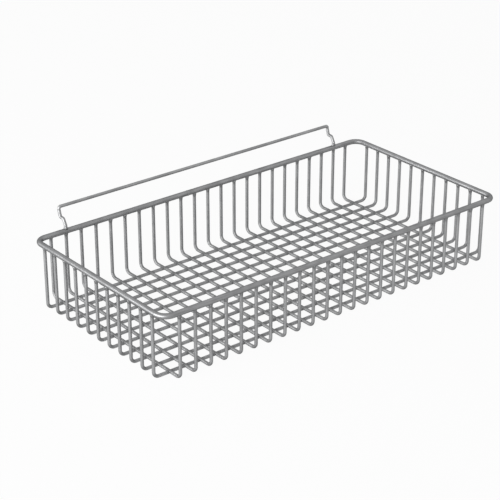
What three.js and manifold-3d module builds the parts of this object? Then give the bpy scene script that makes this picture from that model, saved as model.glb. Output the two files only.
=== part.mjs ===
// Open-topped wire basket that hooks into the groove of a slotted display wall.
// Millimetres. +X runs along the basket, +Y points to the wall behind it and +Z points up.
// The origin lies on the surface that the basket stands on, under the middle of its outer box.

import * as THREE from "three";
import { mergeVertices } from "three/addons/utils/BufferGeometryUtils.js";
import Module from "manifold-3d";

const wasm = await Module();
wasm.setup();

// The basket: length and depth between the centres of opposite rim sides, height over rim and base.
const basketLength = 610;
const basketDepth = 302;
const basketHeight = 102.6;

// Round wire stock.
const rimWireDiameter = 8;
const gridWireDiameter = 4.8;
const hookWireDiameter = 4.8;

// The grid: its wires, evenly spaced between the two last ones, and the space from those to the walls.
const crossWireCount = 23;
const longWireCount = 11;
const crossWireEndSpace = 25.6;
const longWireEndSpace = 24;

// Bends, measured on the centre line of the wire.
const rimCornerRadius = 16;
const gridBendRadius = 8;
const hookBendRadius = 3.2;

// The hook: rim centre up to its step, the step up to its bar, and how far the bar stands behind the rim.
const hookStepRise = 17.6;
const hookBarRise = 14.6;
const hookReach = 15.5;

// Each leg of the hook starts and ends upright, and leans to the wall below its step and above it.
const hookUpright = 4.5;
const hookLeanBelow = 5;
const hookLeanAbove = 3;

// The hook's legs stand over these cross wires, counted inwards from the last one at each end.
const hookLegInset = 1;

// Height of the cross wires over the long wires: spot welding presses them nearly level with each other.
const layerStep = 0.7;

// Welded wires are drawn this far apart, so that each stays a solid of its own.
const weldGap = 0.3;

// Facets: corners of a wire's section, and straight steps in a bend.
const rimSides = 12;
const wireSides = 8;
const rimCornerSteps = 6;
const wireBendSteps = 4;

// Bright plated steel: one finish for all the wires, a little greyer on the heavy rim.
const rimFinish = { color: 0xb4b6b9, roughness: 0.22, metalness: 1 };
const gridFinish = { color: 0xc2c4c7, roughness: 0.18, metalness: 1 };
const hookFinish = { color: 0xb9bbbe, roughness: 0.2, metalness: 1 };

// Distance from a wire's centre to its flats: the section's corners lie on the round wire.
function flatRadius(diameter, sides) {
  return (diameter / 2) * Math.cos(Math.PI / sides);
}

const rimFlat = flatRadius(rimWireDiameter, rimSides);
const gridFlat = flatRadius(gridWireDiameter, wireSides);
const hookFlat = flatRadius(hookWireDiameter, wireSides);

// Each of two crossing wires is pressed flat, over the width of the other, near the plane between them.
const pressedFlat = (layerStep - weldGap) / 2;
const pressedLength = 2 * (gridFlat + weldGap);

// Heights of the centre lines: the basket stands on its long wires, with the cross wires a little higher.
const longWireLevel = gridFlat;
const crossWireLevel = longWireLevel + layerStep;
const rimLevel = basketHeight - rimFlat;
const wallTop = rimLevel - rimFlat - weldGap;
const hookFoot = rimLevel + rimFlat + weldGap;
const hookStepLevel = rimLevel + hookStepRise;
const hookBarLevel = hookStepLevel + hookBarRise;

const halfLength = basketLength / 2;
const halfDepth = basketDepth / 2;

// The block that stands for a pressed flat's missing metal, wider and higher than the wire it is cut from.
const blockWidth = 2 * gridWireDiameter;
const blockHeight = gridWireDiameter;
const underCrossWires = crossWireLevel - pressedFlat - blockHeight / 2;
const overLongWires = longWireLevel + pressedFlat + blockHeight / 2;

// A path given station by station, so that a straight run takes one step and a bend takes several.
class StationPath extends THREE.Curve {
  constructor(stations) {
    super();
    this.stations = stations;
  }

  stationAt(share) {
    return this.stations[Math.round(share * (this.stations.length - 1))];
  }

  getPointAt(share) {
    return this.stationAt(share).point.clone();
  }

  getTangentAt(share) {
    return this.stationAt(share).tangent.clone();
  }
}

// Stations of the round bend at a corner, between the corner before it and the corner after it.
function bendStations(before, corner, after, radius, steps) {
  const inward = corner.clone().sub(before).normalize();
  const outward = after.clone().sub(corner).normalize();
  const turn = inward.angleTo(outward);
  const side = outward.clone().addScaledVector(inward, -inward.dot(outward)).normalize();
  const start = corner.clone().addScaledVector(inward, -radius * Math.tan(turn / 2));
  const centre = start.clone().addScaledVector(side, radius);
  const stations = [];
  for (let step = 0; step <= steps; step += 1) {
    const angle = (turn * step) / steps;
    const sine = Math.sin(angle);
    const cosine = Math.cos(angle);
    stations.push({
      point: centre.clone().addScaledVector(inward, radius * sine).addScaledVector(side, -radius * cosine),
      tangent: inward.clone().multiplyScalar(cosine).addScaledVector(side, sine),
    });
  }
  return stations;
}

// A straight end of a wire, seen along the line from one point to another.
function endStation(point, from, to) {
  return { point: point.clone(), tangent: to.clone().sub(from).normalize() };
}

// A wire with two ends, bent at every corner between them.
function openPath(corners, radius, steps) {
  const last = corners.length - 1;
  const stations = [endStation(corners[0], corners[0], corners[1])];
  for (let index = 1; index < last; index += 1) {
    stations.push(...bendStations(corners[index - 1], corners[index], corners[index + 1], radius, steps));
  }
  stations.push(endStation(corners[last], corners[last - 1], corners[last]));
  return new StationPath(stations);
}

// A wire bent into a loop: its last station is its first one again.
function closedPath(corners, radius, steps) {
  const count = corners.length;
  const stations = corners.flatMap((corner, index) =>
    bendStations(corners[(index + count - 1) % count], corner, corners[(index + 1) % count], radius, steps),
  );
  return new StationPath([...stations, stations[0]]);
}

// The section of a wire: a regular polygon with a flat on each side, above and below.
function wireSection(diameter, sides) {
  const corners = [];
  for (let index = 0; index < sides; index += 1) {
    const angle = (2 * Math.PI * (index + 0.5)) / sides;
    corners.push(new THREE.Vector2(Math.cos(angle), Math.sin(angle)).multiplyScalar(diameter / 2));
  }
  return new THREE.Shape(corners);
}

function wireGeometry(path, diameter, sides) {
  return new THREE.ExtrudeGeometry(wireSection(diameter, sides), {
    steps: path.stations.length - 1,
    extrudePath: path,
    bevelEnabled: false,
  });
}

// A closed loop has no ends, so only the side faces of the swept section are kept.
function loopGeometry(path, diameter, sides) {
  const swept = wireGeometry(path, diameter, sides);
  const sideFaces = swept.groups[1];
  const position = swept.getAttribute("position");
  const first = sideFaces.start * position.itemSize;
  const kept = position.array.slice(first, first + sideFaces.count * position.itemSize);
  const loop = new THREE.BufferGeometry();
  loop.setAttribute("position", new THREE.BufferAttribute(kept, position.itemSize));
  loop.computeVertexNormals();
  return loop;
}

// A closed geometry as a solid that can be cut.
function solidFrom(geometry) {
  const bare = geometry.clone();
  bare.deleteAttribute("normal");
  bare.deleteAttribute("uv");
  const merged = mergeVertices(bare);
  const vertProperties = merged.getAttribute("position").array;
  const triVerts = merged.getIndex().array;
  return new wasm.Manifold(new wasm.Mesh({ numProp: 3, vertProperties, triVerts }));
}

function geometryFrom(solid) {
  const { vertProperties, triVerts, numProp } = solid.getMesh();
  const geometry = new THREE.BufferGeometry();
  geometry.setAttribute("position", new THREE.BufferAttribute(vertProperties, numProp));
  geometry.setIndex(new THREE.BufferAttribute(triVerts, 1));
  geometry.computeVertexNormals();
  return geometry;
}

// A wire with the flats that the wires crossing it have pressed into it: each block is taken away.
function pressedWire(geometry, blocks) {
  const solid = blocks.reduce((wire, block) => wire.subtract(solidFrom(block)), solidFrom(geometry));
  return geometryFrom(solid);
}

function namedMesh(name, geometry, finish) {
  const mesh = new THREE.Mesh(geometry, new THREE.MeshStandardMaterial(finish));
  mesh.name = name;
  return mesh;
}

// Centre lines of evenly spaced wires between two walls.
function gridPositions(span, count, endSpace) {
  const pitch = (span - 2 * endSpace) / (count - 1);
  return Array.from({ length: count }, (_, index) => endSpace + index * pitch - span / 2);
}

const crossWirePositions = gridPositions(basketLength, crossWireCount, crossWireEndSpace);
const longWirePositions = gridPositions(basketDepth, longWireCount, longWireEndSpace);

function rimWire() {
  const corners = [
    new THREE.Vector3(halfLength, halfDepth, rimLevel),
    new THREE.Vector3(-halfLength, halfDepth, rimLevel),
    new THREE.Vector3(-halfLength, -halfDepth, rimLevel),
    new THREE.Vector3(halfLength, -halfDepth, rimLevel),
  ];
  const path = closedPath(corners, rimCornerRadius, rimCornerSteps);
  return namedMesh("rim_wire", loopGeometry(path, rimWireDiameter, rimSides), rimFinish);
}

// One U-shaped wire of the grid, with the flats of the wires that cross it.
function gridWire(kind, index, corners, blocks) {
  const path = openPath(corners, gridBendRadius, wireBendSteps);
  const geometry = pressedWire(wireGeometry(path, gridWireDiameter, wireSides), blocks);
  const number = String(index + 1).padStart(2, "0");
  return namedMesh(`${kind}_${number}`, geometry, gridFinish);
}

// A wire that runs front to back under the goods and stands up in the front and back walls.
function crossWire(x, index) {
  const corners = [
    new THREE.Vector3(x, -halfDepth, wallTop),
    new THREE.Vector3(x, -halfDepth, crossWireLevel),
    new THREE.Vector3(x, halfDepth, crossWireLevel),
    new THREE.Vector3(x, halfDepth, wallTop),
  ];
  const blocks = longWirePositions.map((y) =>
    new THREE.BoxGeometry(blockWidth, pressedLength, blockHeight).translate(x, y, underCrossWires),
  );
  return gridWire("cross_wire", index, corners, blocks);
}

// A wire that runs left to right under the cross wires and stands up in the left and right walls.
function longWire(y, index) {
  const corners = [
    new THREE.Vector3(-halfLength, y, wallTop),
    new THREE.Vector3(-halfLength, y, longWireLevel),
    new THREE.Vector3(halfLength, y, longWireLevel),
    new THREE.Vector3(halfLength, y, wallTop),
  ];
  const blocks = crossWirePositions.map((x) =>
    new THREE.BoxGeometry(pressedLength, blockWidth, blockHeight).translate(x, y, overLongWires),
  );
  return gridWire("long_wire", index, corners, blocks);
}

// Corners of one leg of the hook from the rim up: a riser, a step towards the wall, and a second riser.
function hookLeg(x) {
  const wallSide = halfDepth + hookReach;
  return [
    new THREE.Vector3(x, halfDepth, hookFoot),
    new THREE.Vector3(x, halfDepth, hookFoot + hookUpright),
    new THREE.Vector3(x, halfDepth + hookLeanBelow, hookStepLevel),
    new THREE.Vector3(x, wallSide - hookLeanAbove, hookStepLevel),
    new THREE.Vector3(x, wallSide, hookBarLevel - hookUpright),
    new THREE.Vector3(x, wallSide, hookBarLevel),
  ];
}

// The hook: both legs and the bar between them, in one wire. Its legs stand over two of the cross wires.
function hookWire() {
  const legDistance = crossWirePositions[crossWireCount - 1 - hookLegInset];
  const corners = [...hookLeg(-legDistance), ...hookLeg(legDistance).reverse()];
  const path = openPath(corners, hookBendRadius, wireBendSteps);
  return namedMesh("hook_wire", wireGeometry(path, hookWireDiameter, wireSides), hookFinish);
}

const basket = new THREE.Group();
basket.add(rimWire());
basket.add(...crossWirePositions.map(crossWire));
basket.add(...longWirePositions.map(longWire));
basket.add(hookWire());

// The hook reaches further back than the rim reaches forward, so the basket stands forward of the middle.
basket.position.y = (rimFlat - hookReach - hookFlat) / 2;

export default basket;
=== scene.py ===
"""Looks of a plated wire basket that hooks into the groove of a slotted display wall.

Metres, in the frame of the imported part: +X along the basket, +Y to the wall behind it, +Z up.
"""

import math

import bpy
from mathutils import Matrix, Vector


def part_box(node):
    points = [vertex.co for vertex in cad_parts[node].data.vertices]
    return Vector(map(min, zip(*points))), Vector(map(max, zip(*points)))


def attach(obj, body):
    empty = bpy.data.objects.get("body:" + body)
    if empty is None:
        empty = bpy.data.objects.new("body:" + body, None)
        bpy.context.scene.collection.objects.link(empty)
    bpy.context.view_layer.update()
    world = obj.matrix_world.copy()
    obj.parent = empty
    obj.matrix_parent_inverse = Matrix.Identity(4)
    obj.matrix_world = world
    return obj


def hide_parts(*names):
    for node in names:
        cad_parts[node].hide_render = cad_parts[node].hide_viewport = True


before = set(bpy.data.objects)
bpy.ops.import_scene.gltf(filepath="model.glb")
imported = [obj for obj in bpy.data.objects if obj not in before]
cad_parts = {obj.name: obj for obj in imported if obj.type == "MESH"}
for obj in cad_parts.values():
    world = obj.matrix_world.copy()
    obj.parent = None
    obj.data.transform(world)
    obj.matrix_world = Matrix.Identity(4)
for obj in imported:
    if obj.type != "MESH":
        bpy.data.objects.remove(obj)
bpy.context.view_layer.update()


# Sizes of the basket, as in the part's source: distances are between the centres of the wires.

RIM_LENGTH = 0.610
RIM_DEPTH = 0.302
RIM_WIRE = 0.008
GRID_WIRE = 0.0048
HOOK_WIRE = 0.0048

CROSS_WIRES = 23
LONG_WIRES = 11
PITCH = 0.0254
CROSS_WIRE_SPAN = (CROSS_WIRES - 1) * PITCH
LONG_WIRE_SPAN = (LONG_WIRES - 1) * PITCH

RIM_CORNER = 0.016
GRID_BEND = 0.008
HOOK_BEND = 0.0032

RIM_MIDDLE = sum(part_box("rim_wire"), Vector()) / 2
MIDDLE_Y = RIM_MIDDLE.y
RIM_LEVEL = RIM_MIDDLE.z
GRID_FLAT = GRID_WIRE / 2 * math.cos(math.pi / 8)
LONG_WIRE_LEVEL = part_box("long_wire_01")[0].z + GRID_FLAT
CROSS_WIRE_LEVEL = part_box("cross_wire_01")[0].z + GRID_FLAT
WELD_LEVEL = (LONG_WIRE_LEVEL + CROSS_WIRE_LEVEL) / 2

HOOK_STEP_LEVEL = RIM_LEVEL + 0.0176
HOOK_BAR_LEVEL = HOOK_STEP_LEVEL + 0.0146
HOOK_REACH = 0.0155
HOOK_UPRIGHT = 0.0045
HOOK_LEAN_BELOW = 0.005
HOOK_LEAN_ABOVE = 0.003
HOOK_LEG_DISTANCE = CROSS_WIRE_SPAN / 2 - PITCH

FRONT_Y = MIDDLE_Y - RIM_DEPTH / 2
BACK_Y = MIDDLE_Y + RIM_DEPTH / 2
HALF_LENGTH = RIM_LENGTH / 2

# Welded ends sink this far into the rim, so that no light shows between the wires.
END_SINK = 0.0015

# The rim's two ends meet in a butt weld on the back side, between two uprights.
RIM_JOINT_X = -1.5 * PITCH


# Nodes: small helpers that keep the trees below short.

def add_node(tree, kind, settings=None, inputs=None):
    """A new node. An input is a plain value or the output socket that feeds it."""
    node = tree.nodes.new(kind)
    for name, value in (settings or {}).items():
        setattr(node, name, value)
    for key, value in (inputs or {}).items():
        if isinstance(value, bpy.types.NodeSocket):
            tree.links.new(value, node.inputs[key])
        else:
            node.inputs[key].default_value = value
    return node


def new_group(name, kind, inputs, outputs):
    """An empty node group with named sockets, and its two end nodes."""
    tree = bpy.data.node_groups.new(name, kind)
    for label, socket_type in inputs.items():
        tree.interface.new_socket(label, in_out="INPUT", socket_type=socket_type)
    for label, socket_type in outputs.items():
        tree.interface.new_socket(label, in_out="OUTPUT", socket_type=socket_type)
    return tree, tree.nodes.new("NodeGroupInput").outputs, tree.nodes.new("NodeGroupOutput").inputs


def math_node(tree, operation, first, second=0.0, clamp=False):
    settings = {"operation": operation, "use_clamp": clamp}
    return add_node(tree, "ShaderNodeMath", settings, {0: first, 1: second}).outputs[0]


def vector_node(tree, operation, first, second=(0.0, 0.0, 0.0)):
    return add_node(tree, "ShaderNodeVectorMath", {"operation": operation}, {0: first, 1: second})


def ramp_node(tree, value, low, high, start=0.0, end=1.0):
    """A smooth ramp from start, where value is low, to end, where it is high."""
    inputs = {0: value, 1: low, 2: high, 3: start, 4: end}
    return add_node(tree, "ShaderNodeMapRange", {"interpolation_type": "SMOOTHSTEP"}, inputs).outputs[0]


def blend_values(tree, factor, first, second):
    return add_node(tree, "ShaderNodeMix", None, {0: factor, 2: first, 3: second}).outputs[0]


def blend_colours(tree, factor, first, second):
    return add_node(tree, "ShaderNodeMix", {"data_type": "RGBA"}, {0: factor, 6: first, 7: second}).outputs[2]


def blend_shaders(tree, factor, first, second):
    return add_node(tree, "ShaderNodeMixShader", None, {0: factor, 1: first, 2: second}).outputs[0]


def noise_node(tree, vector, scale, detail):
    inputs = {"Vector": vector, "Scale": scale, "Detail": detail}
    return add_node(tree, "ShaderNodeTexNoise", None, inputs).outputs[0]


# Geometry node trees: a bent wire in evenly spaced copies, and a grid of welds.

def bent_wire_tree():
    """Sweeps a round wire along a line of corners, rounds the corners and repeats the wire.

    The grain attribute holds the place round the wire's section and the length along the wire, and the
    shift attribute a random number for each wire, so that a finish can follow every wire in its own way.
    """
    tree, given, made = new_group(
        "bent_wire",
        "GeometryNodeTree",
        {
            "Corners": "NodeSocketGeometry",
            "Wire Diameter": "NodeSocketFloat",
            "Section Sides": "NodeSocketInt",
            "Bend Radius": "NodeSocketFloat",
            "Bend Steps": "NodeSocketInt",
            "Copies": "NodeSocketInt",
            "Spacing": "NodeSocketVector",
            "Seed": "NodeSocketInt",
            "Finish": "NodeSocketMaterial",
        },
        {"Wires": "NodeSocketGeometry"},
    )
    line = add_node(tree, "GeometryNodeMeshToCurve", None, {"Mesh": given["Corners"]})
    bends = {"Curve": line.outputs[0], "Count": given["Bend Steps"], "Radius": given["Bend Radius"]}
    bent = add_node(tree, "GeometryNodeFilletCurve", {"mode": "POLY"}, bends)
    run = add_node(tree, "GeometryNodeCaptureAttribute", None, {"Geometry": bent.outputs[0]})
    run.capture_items.new("FLOAT", "Run")
    tree.links.new(add_node(tree, "GeometryNodeSplineParameter").outputs["Length"], run.inputs["Run"])

    sides = {"Resolution": given["Section Sides"]}
    section = add_node(tree, "GeometryNodeCurvePrimitiveCircle", None, sides)
    turn = add_node(tree, "GeometryNodeCaptureAttribute", None, {"Geometry": section.outputs[0]})
    turn.capture_items.new("VECTOR", "Turn")
    tree.links.new(add_node(tree, "GeometryNodeInputPosition").outputs[0], turn.inputs["Turn"])
    radius = math_node(tree, "MULTIPLY", given["Wire Diameter"], 0.5)
    swept = add_node(
        tree,
        "GeometryNodeCurveToMesh",
        None,
        {"Curve": run.outputs[0], "Profile Curve": turn.outputs[0], "Scale": radius, "Fill Caps": True},
    )
    smooth = add_node(tree, "GeometryNodeSetShadeSmooth", None, {"Geometry": swept.outputs[0]})
    along = add_node(tree, "ShaderNodeCombineXYZ", None, {2: run.outputs["Run"]})
    grain = add_node(
        tree,
        "GeometryNodeStoreNamedAttribute",
        {"data_type": "FLOAT_VECTOR", "domain": "POINT"},
        {
            "Geometry": smooth.outputs[0],
            "Name": "grain",
            "Value": vector_node(tree, "ADD", turn.outputs["Turn"], along.outputs[0]).outputs[0],
        },
    )

    places = add_node(
        tree, "GeometryNodeMeshLine", None, {"Count": given["Copies"], "Offset": given["Spacing"]}
    )
    copies = add_node(
        tree,
        "GeometryNodeInstanceOnPoints",
        None,
        {"Points": places.outputs[0], "Instance": grain.outputs[0]},
    )
    chance = add_node(tree, "FunctionNodeRandomValue", {"data_type": "FLOAT"}, {"Seed": given["Seed"]})
    shift = add_node(
        tree,
        "GeometryNodeStoreNamedAttribute",
        {"data_type": "FLOAT", "domain": "INSTANCE"},
        {"Geometry": copies.outputs[0], "Name": "shift", "Value": chance.outputs[1]},
    )
    wires = add_node(tree, "GeometryNodeRealizeInstances", None, {"Geometry": shift.outputs[0]})
    finished = {"Geometry": wires.outputs[0], "Material": given["Finish"]}
    tree.links.new(add_node(tree, "GeometryNodeSetMaterial", None, finished).outputs[0], made["Wires"])
    return tree


def weld_grid_tree():
    """Sets copies of one weld on an even grid, each a little larger or smaller than the next."""
    tree, given, made = new_group(
        "weld_grid",
        "GeometryNodeTree",
        {
            "Weld": "NodeSocketGeometry",
            "Columns": "NodeSocketInt",
            "Rows": "NodeSocketInt",
            "Length": "NodeSocketFloat",
            "Depth": "NodeSocketFloat",
            "Middle": "NodeSocketVector",
            "Smallest": "NodeSocketVector",
            "Largest": "NodeSocketVector",
            "Seed": "NodeSocketInt",
            "Finish": "NodeSocketMaterial",
        },
        {"Welds": "NodeSocketGeometry"},
    )
    grid = add_node(
        tree,
        "GeometryNodeMeshGrid",
        None,
        {
            "Size X": given["Length"],
            "Size Y": given["Depth"],
            "Vertices X": given["Columns"],
            "Vertices Y": given["Rows"],
        },
    )
    places = add_node(
        tree, "GeometryNodeTransform", None, {"Geometry": grid.outputs[0], "Translation": given["Middle"]}
    )
    size = add_node(
        tree,
        "FunctionNodeRandomValue",
        {"data_type": "FLOAT_VECTOR"},
        {0: given["Smallest"], 1: given["Largest"], "Seed": given["Seed"]},
    )
    copies = add_node(
        tree,
        "GeometryNodeInstanceOnPoints",
        None,
        {"Points": places.outputs[0], "Instance": given["Weld"], "Scale": size.outputs[0]},
    )
    welds = add_node(tree, "GeometryNodeRealizeInstances", None, {"Geometry": copies.outputs[0]})
    smooth = add_node(tree, "GeometryNodeSetShadeSmooth", None, {"Geometry": welds.outputs[0]})
    finished = {"Geometry": smooth.outputs[0], "Material": given["Finish"]}
    tree.links.new(add_node(tree, "GeometryNodeSetMaterial", None, finished).outputs[0], made["Welds"])
    return tree


def mesh_object(name, points, edges=(), faces=()):
    mesh = bpy.data.meshes.new(name)
    mesh.from_pydata(points, edges, faces)
    piece = bpy.data.objects.new(name, mesh)
    bpy.context.scene.collection.objects.link(piece)
    return piece


def grown(piece, tree, values):
    """Runs a geometry node tree on a piece's own mesh and keeps the result as a plain mesh."""
    sockets = {item.name: item.identifier for item in tree.interface.items_tree if item.in_out == "INPUT"}
    modifier = piece.modifiers.new(tree.name, "NODES")
    modifier.node_group = tree
    for name, value in values.items():
        modifier[sockets[name]] = value
    evaluated = piece.evaluated_get(bpy.context.evaluated_depsgraph_get())
    result = bpy.data.meshes.new_from_object(evaluated)
    seed_mesh = piece.data
    piece.modifiers.remove(modifier)
    piece.data = result
    bpy.data.meshes.remove(seed_mesh)
    result.name = piece.name
    return piece


# Finishes: bright plated steel, with the marks of wire drawing and of welding; the weld marks also paint
# shade at the base's crossings and under the rim.

RIM_BRIGHT = (0.310, 0.312, 0.317, 1.0)
RIM_DULL = (0.232, 0.234, 0.238, 1.0)
GRID_BRIGHT = (0.340, 0.343, 0.347, 1.0)
GRID_DULL = (0.255, 0.257, 0.261, 1.0)
HOOK_BRIGHT = (0.360, 0.363, 0.368, 1.0)
HOOK_DULL = (0.270, 0.272, 0.276, 1.0)
# Dark tint of weld marks, which also serves as painted shade where wires cross and where the uprights meet
# the rim.
WELD_AND_SHADE_TINT = (0.190, 0.192, 0.194, 1.0)
EDGE_TINT = (0.250, 0.250, 0.250, 1.0)

# Roughness of each plating where it is bright and where it is dull.
RIM_ROUGHNESS = (0.40, 0.50)
GRID_ROUGHNESS = (0.48, 0.58)
HOOK_ROUGHNESS = (0.48, 0.58)
HEAT_ROUGHNESS = 0.14
# How strongly the weld mask darkens the grid: partly weld marks, partly painted shade.
HEAT_AND_SHADE_STRENGTH = 0.7

# Strength and depth of the relief: shallow on drawn wire, deeper on the lumpy welds.
DRAWN_RELIEF = (0.12, 0.00015)
WELD_RELIEF = (0.35, 0.0004)


def drawn_plating_group():
    """Cloudy plating over drawn wire: lengthwise streaks, soft clouds and fine specks."""
    tree, given, made = new_group(
        "drawn_plating",
        "ShaderNodeTree",
        {
            "Place": "NodeSocketVector",
            "Grain": "NodeSocketVector",
            "Shift": "NodeSocketFloat",
            "Bright": "NodeSocketColor",
            "Dull": "NodeSocketColor",
            "Smooth": "NodeSocketFloat",
            "Satin": "NodeSocketFloat",
        },
        {"Colour": "NodeSocketColor", "Roughness": "NodeSocketFloat", "Height": "NodeSocketFloat"},
    )
    own_start = add_node(tree, "ShaderNodeCombineXYZ", None, {2: given["Shift"]}).outputs[0]
    stretched = vector_node(tree, "MULTIPLY_ADD", given["Grain"], (2.6, 2.6, 34.0))
    far_apart = vector_node(tree, "MULTIPLY", own_start, (0.0, 0.0, 90.0)).outputs[0]
    tree.links.new(far_apart, stretched.inputs[2])
    streaks = noise_node(tree, stretched.outputs[0], 1.0, 3.0)
    clouds = noise_node(tree, vector_node(tree, "ADD", given["Place"], own_start).outputs[0], 55.0, 2.0)
    specks = noise_node(tree, given["Place"], 1400.0, 1.0)
    dullness = ramp_node(tree, blend_values(tree, 0.45, streaks, clouds), 0.36, 0.66)
    tree.links.new(blend_colours(tree, dullness, given["Bright"], given["Dull"]), made["Colour"])
    tree.links.new(blend_values(tree, dullness, given["Smooth"], given["Satin"]), made["Roughness"])
    tree.links.new(blend_values(tree, 0.3, streaks, specks), made["Height"])
    return tree


def weld_heat_and_shade_group():
    """Mask of the heat marks round the welds, which also places painted shade at the base's crossings and
    under the rim: 1 at a weld and 0 away from it.
    """
    tree, given, made = new_group(
        "weld_heat_and_shade",
        "ShaderNodeTree",
        {"Place": "NodeSocketVector", "Reach": "NodeSocketFloat", "Rim Reach": "NodeSocketFloat"},
        {"Mask": "NodeSocketFloat"},
    )
    first_crossing = (-CROSS_WIRE_SPAN / 2, MIDDLE_Y - LONG_WIRE_SPAN / 2, WELD_LEVEL)
    from_first = vector_node(tree, "SUBTRACT", given["Place"], first_crossing).outputs[0]
    cell = add_node(
        tree,
        "ShaderNodeVectorMath",
        {"operation": "WRAP"},
        {0: from_first, 1: (PITCH / 2, PITCH / 2, 1.0), 2: (-PITCH / 2, -PITCH / 2, -1.0)},
    ).outputs[0]
    distance = add_node(tree, "ShaderNodeVectorMath", {"operation": "LENGTH"}, {0: cell}).outputs["Value"]
    # Painted shade and weld marks round every crossing of the base.
    at_crossing = ramp_node(tree, math_node(tree, "DIVIDE", distance, given["Reach"]), 1.0, 0.35)
    height = add_node(tree, "ShaderNodeSeparateXYZ", None, {0: given["Place"]}).outputs[2]
    to_rim = math_node(tree, "ABSOLUTE", math_node(tree, "SUBTRACT", RIM_LEVEL, height))
    # Painted shade and weld marks on the uprights just under the rim.
    under_rim = ramp_node(tree, math_node(tree, "DIVIDE", to_rim, given["Rim Reach"]), 1.0, 0.5)
    tree.links.new(math_node(tree, "MAXIMUM", at_crossing, under_rim), made["Mask"])
    return tree


def new_material(name):
    """A bare metal material: its tree, its shader and the place on the piece."""
    material = bpy.data.materials.new(name)
    material.use_nodes = True
    tree = material.node_tree
    shader = tree.nodes["Principled BSDF"]
    shader.inputs["Metallic"].default_value = 1.0
    shader.inputs["Specular Tint"].default_value = EDGE_TINT
    place = add_node(tree, "ShaderNodeTexCoord").outputs["Object"]
    return material, tree, shader, place


def plated(tree, group, place, bright, dull, roughness):
    """The plating of a drawn wire, with the streaks along the wire it is on."""
    grain = add_node(tree, "ShaderNodeAttribute", {"attribute_name": "grain"})
    shift = add_node(tree, "ShaderNodeAttribute", {"attribute_name": "shift"})
    return add_node(
        tree,
        "ShaderNodeGroup",
        {"node_tree": group},
        {
            "Place": place,
            "Grain": grain.outputs["Vector"],
            "Shift": shift.outputs["Fac"],
            "Bright": bright,
            "Dull": dull,
            "Smooth": roughness[0],
            "Satin": roughness[1],
        },
    ).outputs


def set_relief(tree, shader, height, relief):
    strength, depth = relief
    bump = add_node(tree, "ShaderNodeBump", None, {"Strength": strength, "Distance": depth, "Height": height})
    tree.links.new(bump.outputs[0], shader.inputs["Normal"])


def wire_finish(name, drawn_plating, bright, dull, roughness):
    """Finish of a wire with no welds along it, such as the rim or the hook."""
    material, tree, shader, place = new_material(name)
    finish = plated(tree, drawn_plating, place, bright, dull, roughness)
    tree.links.new(finish["Colour"], shader.inputs["Base Color"])
    tree.links.new(finish["Roughness"], shader.inputs["Roughness"])
    set_relief(tree, shader, finish["Height"], DRAWN_RELIEF)
    return material


def grid_finish(drawn_plating, weld_heat_and_shade):
    """Finish of the grid's wires: darker and rougher at each weld; the darkening is partly weld marks and
    partly painted shade at the crossings and under the rim.
    """
    material, tree, shader, place = new_material("grid_plating")
    finish = plated(tree, drawn_plating, place, GRID_BRIGHT, GRID_DULL, GRID_ROUGHNESS)
    marks = {"Place": place, "Reach": 0.0085, "Rim Reach": 0.011}
    heat_and_shade = add_node(tree, "ShaderNodeGroup", {"node_tree": weld_heat_and_shade}, marks).outputs["Mask"]
    strength = math_node(tree, "MULTIPLY", heat_and_shade, HEAT_AND_SHADE_STRENGTH)
    # Darkens the wire towards the weld tint: partly weld marks, partly painted shade.
    tree.links.new(blend_colours(tree, strength, finish["Colour"], WELD_AND_SHADE_TINT), shader.inputs["Base Color"])
    rougher = math_node(tree, "MULTIPLY", heat_and_shade, HEAT_ROUGHNESS)
    rough = math_node(tree, "ADD", finish["Roughness"], rougher)
    tree.links.new(rough, shader.inputs["Roughness"])
    set_relief(tree, shader, finish["Height"], DRAWN_RELIEF)
    return material


def weld_finish(weld_heat_and_shade):
    """Finish of the welds: plated over, uneven, and dark where the metal was hottest; these dark patches also
    stand in as painted shade at the crossings and under the rim.
    """
    material, tree, shader, place = new_material("weld_plating")
    marks = {"Place": place, "Reach": 0.0065, "Rim Reach": 0.007}
    heat_and_shade = add_node(tree, "ShaderNodeGroup", {"node_tree": weld_heat_and_shade}, marks).outputs["Mask"]
    lumps = noise_node(tree, place, 520.0, 3.0)
    # Dark patches at the crossings and under the rim: partly weld marks, partly painted shade.
    patches = math_node(tree, "MULTIPLY", heat_and_shade, ramp_node(tree, lumps, 0.3, 0.7, 0.5, 1.0))
    tree.links.new(blend_colours(tree, patches, GRID_DULL, WELD_AND_SHADE_TINT), shader.inputs["Base Color"])
    tree.links.new(ramp_node(tree, lumps, 0.3, 0.7, 0.34, 0.52), shader.inputs["Roughness"])
    set_relief(tree, shader, lumps, WELD_RELIEF)
    return material


drawn_plating = drawn_plating_group()
weld_heat_and_shade = weld_heat_and_shade_group()
rim_plating = wire_finish("rim_plating", drawn_plating, RIM_BRIGHT, RIM_DULL, RIM_ROUGHNESS)
hook_plating = wire_finish("hook_plating", drawn_plating, HOOK_BRIGHT, HOOK_DULL, HOOK_ROUGHNESS)
grid_plating = grid_finish(drawn_plating, weld_heat_and_shade)
weld_plating = weld_finish(weld_heat_and_shade)


# Wires: each piece is a line of corners that the bent wire tree turns into round wires.

bent_wire = bent_wire_tree()

RIM_SIDES = 32
WIRE_SIDES = 20


def wire_piece(name, corners, sizes, finish, nodes):
    """One kind of wire as one piece, which stands for its CAD nodes."""
    edges = [(index, index + 1) for index in range(len(corners) - 1)]
    piece = grown(mesh_object(name, corners, edges), bent_wire, {**sizes, "Finish": finish})
    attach(piece, "root")
    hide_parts(*nodes)
    return piece


def numbered(kind, count):
    return [f"{kind}_{number:02d}" for number in range(1, count + 1)]


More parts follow.
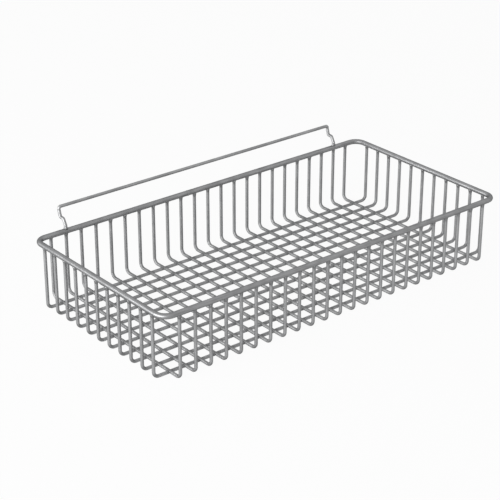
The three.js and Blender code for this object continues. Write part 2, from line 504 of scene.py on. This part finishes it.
def add_rim():
    """The heavy rim: one wire from the butt weld round all four corners and back to it."""
    start = Vector((RIM_JOINT_X, BACK_Y, RIM_LEVEL))
    corners = [
        start,
        (-HALF_LENGTH, BACK_Y, RIM_LEVEL),
        (-HALF_LENGTH, FRONT_Y, RIM_LEVEL),
        (HALF_LENGTH, FRONT_Y, RIM_LEVEL),
        (HALF_LENGTH, BACK_Y, RIM_LEVEL),
        start + Vector((0.0001, 0.0, 0.0)),
    ]
    sizes = {
        "Wire Diameter": RIM_WIRE,
        "Section Sides": RIM_SIDES,
        "Bend Radius": RIM_CORNER,
        "Bend Steps": 14,
        "Copies": 1,
        "Seed": 1,
    }
    return wire_piece("rim", corners, sizes, rim_plating, ["rim_wire"])


def grid_sizes(copies, spacing, seed):
    return {
        "Wire Diameter": GRID_WIRE,
        "Section Sides": WIRE_SIDES,
        "Bend Radius": GRID_BEND,
        "Bend Steps": 8,
        "Copies": copies,
        "Spacing": spacing,
        "Seed": seed,
    }


def add_cross_wires():
    """The wires that run front to back and stand up in the front and back walls."""
    x = -CROSS_WIRE_SPAN / 2
    top = RIM_LEVEL - RIM_WIRE / 2 + END_SINK
    corners = [
        (x, FRONT_Y, top),
        (x, FRONT_Y, CROSS_WIRE_LEVEL),
        (x, BACK_Y, CROSS_WIRE_LEVEL),
        (x, BACK_Y, top),
    ]
    sizes = grid_sizes(CROSS_WIRES, (PITCH, 0.0, 0.0), 2)
    nodes = numbered("cross_wire", CROSS_WIRES)
    return wire_piece("cross_wires", corners, sizes, grid_plating, nodes)


def add_long_wires():
    """The wires that run left to right under the cross wires and stand up in the side walls."""
    y = MIDDLE_Y - LONG_WIRE_SPAN / 2
    top = RIM_LEVEL - RIM_WIRE / 2 + END_SINK
    corners = [
        (-HALF_LENGTH, y, top),
        (-HALF_LENGTH, y, LONG_WIRE_LEVEL),
        (HALF_LENGTH, y, LONG_WIRE_LEVEL),
        (HALF_LENGTH, y, top),
    ]
    sizes = grid_sizes(LONG_WIRES, (0.0, PITCH, 0.0), 3)
    nodes = numbered("long_wire", LONG_WIRES)
    return wire_piece("long_wires", corners, sizes, grid_plating, nodes)


def hook_leg(x):
    """Corners of one leg from the rim up: a riser, a step to the wall and a second riser."""
    rim_top = RIM_LEVEL + RIM_WIRE / 2
    wall_y = BACK_Y + HOOK_REACH
    return [
        (x, BACK_Y, rim_top - END_SINK),
        (x, BACK_Y, rim_top + HOOK_UPRIGHT),
        (x, BACK_Y + HOOK_LEAN_BELOW, HOOK_STEP_LEVEL),
        (x, wall_y - HOOK_LEAN_ABOVE, HOOK_STEP_LEVEL),
        (x, wall_y, HOOK_BAR_LEVEL - HOOK_UPRIGHT),
        (x, wall_y, HOOK_BAR_LEVEL),
    ]


def add_hook():
    """The hook: two cranked legs and the bar between them, bent from one wire."""
    corners = [*hook_leg(-HOOK_LEG_DISTANCE), *reversed(hook_leg(HOOK_LEG_DISTANCE))]
    sizes = {
        "Wire Diameter": HOOK_WIRE,
        "Section Sides": WIRE_SIDES,
        "Bend Radius": HOOK_BEND,
        "Bend Steps": 8,
        "Copies": 1,
        "Seed": 4,
    }
    return wire_piece("hook", corners, sizes, hook_plating, ["hook_wire"])


# Welds: a small web at each crossing of the base, a neck at each end of a wire and a bead on the rim.

weld_grid = weld_grid_tree()


def turned(name, profile, sides):
    """A closed shape turned about the Z axis from (radius, height) pairs, lowest first."""
    points = []
    for radius, height in profile:
        for side in range(sides):
            angle = 2 * math.pi * side / sides
            points.append((radius * math.cos(angle), radius * math.sin(angle), height))
    faces = []
    for ring in range(len(profile) - 1):
        for side in range(sides):
            following = (side + 1) % sides
            low, high = ring * sides, (ring + 1) * sides
            faces.append((low + side, low + following, high + following, high + side))
    faces.append(tuple(reversed(range(sides))))
    faces.append(tuple(range((len(profile) - 1) * sides, len(profile) * sides)))
    return mesh_object(name, points, (), faces)


def crossing_web(name):
    """The metal squeezed out where two wires cross: a flat star with a filled corner on each diagonal."""
    tip, shoulder, corner, half_height = 0.0052, 0.0043, 0.0042, 0.0022
    count = 16
    outline = []
    for step in range(count):
        angle = 2 * math.pi * step / count
        radius = (tip, shoulder, corner, shoulder)[step % 4]
        outline.append((radius * math.cos(angle), radius * math.sin(angle), 0.0))
    points = [*outline, (0.0, 0.0, half_height), (0.0, 0.0, -half_height)]
    top, bottom = count, count + 1
    faces = []
    for step in range(count):
        following = (step + 1) % count
        faces.append((step, following, top))
        faces.append((following, step, bottom))
    return mesh_object(name, points, (), faces)


def weld_piece(piece, columns, rows, length, depth, middle, seed):
    values = {
        "Columns": columns,
        "Rows": rows,
        "Length": length,
        "Depth": depth,
        "Middle": middle,
        "Smallest": (0.9, 0.9, 0.9),
        "Largest": (1.12, 1.12, 1.12),
        "Seed": seed,
        "Finish": weld_plating,
    }
    grown(piece, weld_grid, values)
    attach(piece, "root")
    return piece


def add_base_welds():
    middle = (0.0, MIDDLE_Y, WELD_LEVEL)
    piece = crossing_web("base_welds")
    return weld_piece(
        piece, CROSS_WIRES, LONG_WIRES, CROSS_WIRE_SPAN, LONG_WIRE_SPAN, middle, 5
    )


# Radius and height of a weld neck from the wire up into the rim.
NECK = [(0.00236, -0.0036), (0.00252, -0.0020), (0.00290, -0.0004), (0.00305, 0.0014)]
NECK_SIDES = 12
HOOK_NECK_WIDTH = 1.08


def add_wall_welds():
    """Necks of weld metal where the uprights of all four walls meet the underside of the rim."""
    middle = (0.0, MIDDLE_Y, RIM_LEVEL - RIM_WIRE / 2)
    long_sides = turned("long_side_welds", NECK, NECK_SIDES)
    weld_piece(long_sides, CROSS_WIRES, 2, CROSS_WIRE_SPAN, RIM_DEPTH, middle, 6)
    short_sides = turned("short_side_welds", NECK, NECK_SIDES)
    weld_piece(short_sides, 2, LONG_WIRES, RIM_LENGTH, LONG_WIRE_SPAN, middle, 7)


def add_hook_welds():
    """Necks where the hook's two legs stand on the rim."""
    middle = (0.0, BACK_Y, RIM_LEVEL + RIM_WIRE / 2)
    foot = [(HOOK_NECK_WIDTH * radius, -height) for radius, height in reversed(NECK)]
    piece = turned("hook_welds", foot, NECK_SIDES)
    return weld_piece(piece, 2, 1, 2 * HOOK_LEG_DISTANCE, 0.0, middle, 8)


def add_rim_joint():
    """The dressed bead of the rim's butt weld, turned to lie round the wire."""
    radius = RIM_WIRE / 2
    bead = [
        (radius - 0.0002, -0.0026),
        (radius + 0.00008, -0.0017),
        (radius + 0.00018, 0.0),
        (radius + 0.00008, 0.0017),
        (radius - 0.0002, 0.0026),
    ]
    piece = turned("rim_joint", bead, RIM_SIDES)
    for vertex in piece.data.vertices:
        across, along = vertex.co.x, vertex.co.z
        vertex.co = (RIM_JOINT_X + along, BACK_Y + vertex.co.y, RIM_LEVEL - across)
    for polygon in piece.data.polygons:
        polygon.use_smooth = len(polygon.vertices) == 4
    piece.data.materials.append(rim_plating)
    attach(piece, "root")
    return piece


add_rim()
add_cross_wires()
add_long_wires()
add_hook()
add_base_welds()
add_wall_welds()
add_hook_welds()
add_rim_joint()


# Studio: a white floor in a white room, one soft lamp on the left and the photograph's camera.

FLOOR_LEVEL = LONG_WIRE_LEVEL - GRID_WIRE / 2
FLOOR_SIZE = 60.0
FLOOR_COLOUR = (0.9, 0.9, 0.9, 1.0)
WHITE = (1.0, 1.0, 1.0, 1.0)
FLOOR_WHITE_SHARE = 0.94
ROOM_LIGHT = 0.4

SOFTBOX_PLACE = (-3.3, -0.1, 0.8)
SOFTBOX_AIM = (0.0, 0.0, 0.05)
SOFTBOX_WIDTH = 6.0
SOFTBOX_HEIGHT = 1.6
SOFTBOX_POWER = 200.0

CAMERA_PLACE = RIM_MIDDLE + Vector((-1.34779, -1.60977, 0.94369))
CAMERA_AZIMUTH = -39.083
CAMERA_ELEVATION = 25.335
CAMERA_LENS = 114.891
CAMERA_SENSOR = 36.0


def seen_directly(tree):
    """1 for what the camera sees, straight or mirrored in metal or glass, and 0 for other light."""
    path = add_node(tree, "ShaderNodeLightPath").outputs
    mirrored = math_node(tree, "MAXIMUM", path["Is Glossy Ray"], path["Is Transmission Ray"])
    return math_node(tree, "MAXIMUM", path["Is Camera Ray"], mirrored)


def add_floor():
    """A matt floor that looks white, also where metal mirrors it, and keeps a faint shadow."""
    half = FLOOR_SIZE / 2
    corners = [(-half, -half), (half, -half), (half, half), (-half, half)]
    floor = mesh_object("floor", [(x, y, FLOOR_LEVEL) for x, y in corners], (), [(0, 1, 2, 3)])
    material = bpy.data.materials.new("white_floor")
    material.use_nodes = True
    tree = material.node_tree
    tree.nodes.remove(tree.nodes["Principled BSDF"])
    matt = add_node(tree, "ShaderNodeBsdfDiffuse", None, {"Color": FLOOR_COLOUR}).outputs[0]
    white = add_node(tree, "ShaderNodeEmission", None, {"Color": WHITE}).outputs[0]
    share = math_node(tree, "MULTIPLY", seen_directly(tree), FLOOR_WHITE_SHARE)
    surface = blend_shaders(tree, share, matt, white)
    tree.links.new(surface, tree.nodes["Material Output"].inputs["Surface"])
    floor.data.materials.append(material)


def add_room():
    """A room without corners that looks white, also where metal mirrors it, and lights the floor softly."""
    world = bpy.data.worlds.new("room")
    bpy.context.scene.world = world
    world.use_nodes = True
    tree = world.node_tree
    strength = math_node(tree, "MAXIMUM", seen_directly(tree), ROOM_LIGHT)
    tree.links.new(strength, tree.nodes["Background"].inputs["Strength"])
    tree.nodes["Background"].inputs["Color"].default_value = WHITE


def add_softbox():
    lamp = bpy.data.lights.new("left_softbox", "AREA")
    lamp.shape = "RECTANGLE"
    lamp.size = SOFTBOX_WIDTH
    lamp.size_y = SOFTBOX_HEIGHT
    lamp.energy = SOFTBOX_POWER
    softbox = bpy.data.objects.new("left_softbox", lamp)
    softbox.location = SOFTBOX_PLACE
    back = Vector(SOFTBOX_PLACE) - Vector(SOFTBOX_AIM)
    softbox.rotation_euler = back.to_track_quat("Z", "Y").to_euler()
    bpy.context.scene.collection.objects.link(softbox)


def add_camera():
    azimuth, elevation = math.radians(CAMERA_AZIMUTH), math.radians(CAMERA_ELEVATION)
    level = math.cos(elevation)
    back = Vector((math.sin(azimuth) * level, -math.cos(azimuth) * level, math.sin(elevation)))
    camera = bpy.data.cameras.new("camera")
    camera.lens = CAMERA_LENS
    camera.sensor_width = CAMERA_SENSOR
    camera_object = bpy.data.objects.new("camera", camera)
    camera_object.location = CAMERA_PLACE
    camera_object.rotation_euler = back.to_track_quat("Z", "Y").to_euler()
    bpy.context.scene.collection.objects.link(camera_object)
    bpy.context.scene.camera = camera_object


add_floor()
add_room()
add_softbox()
add_camera()
bpy.context.scene.view_settings.view_transform = "Standard"
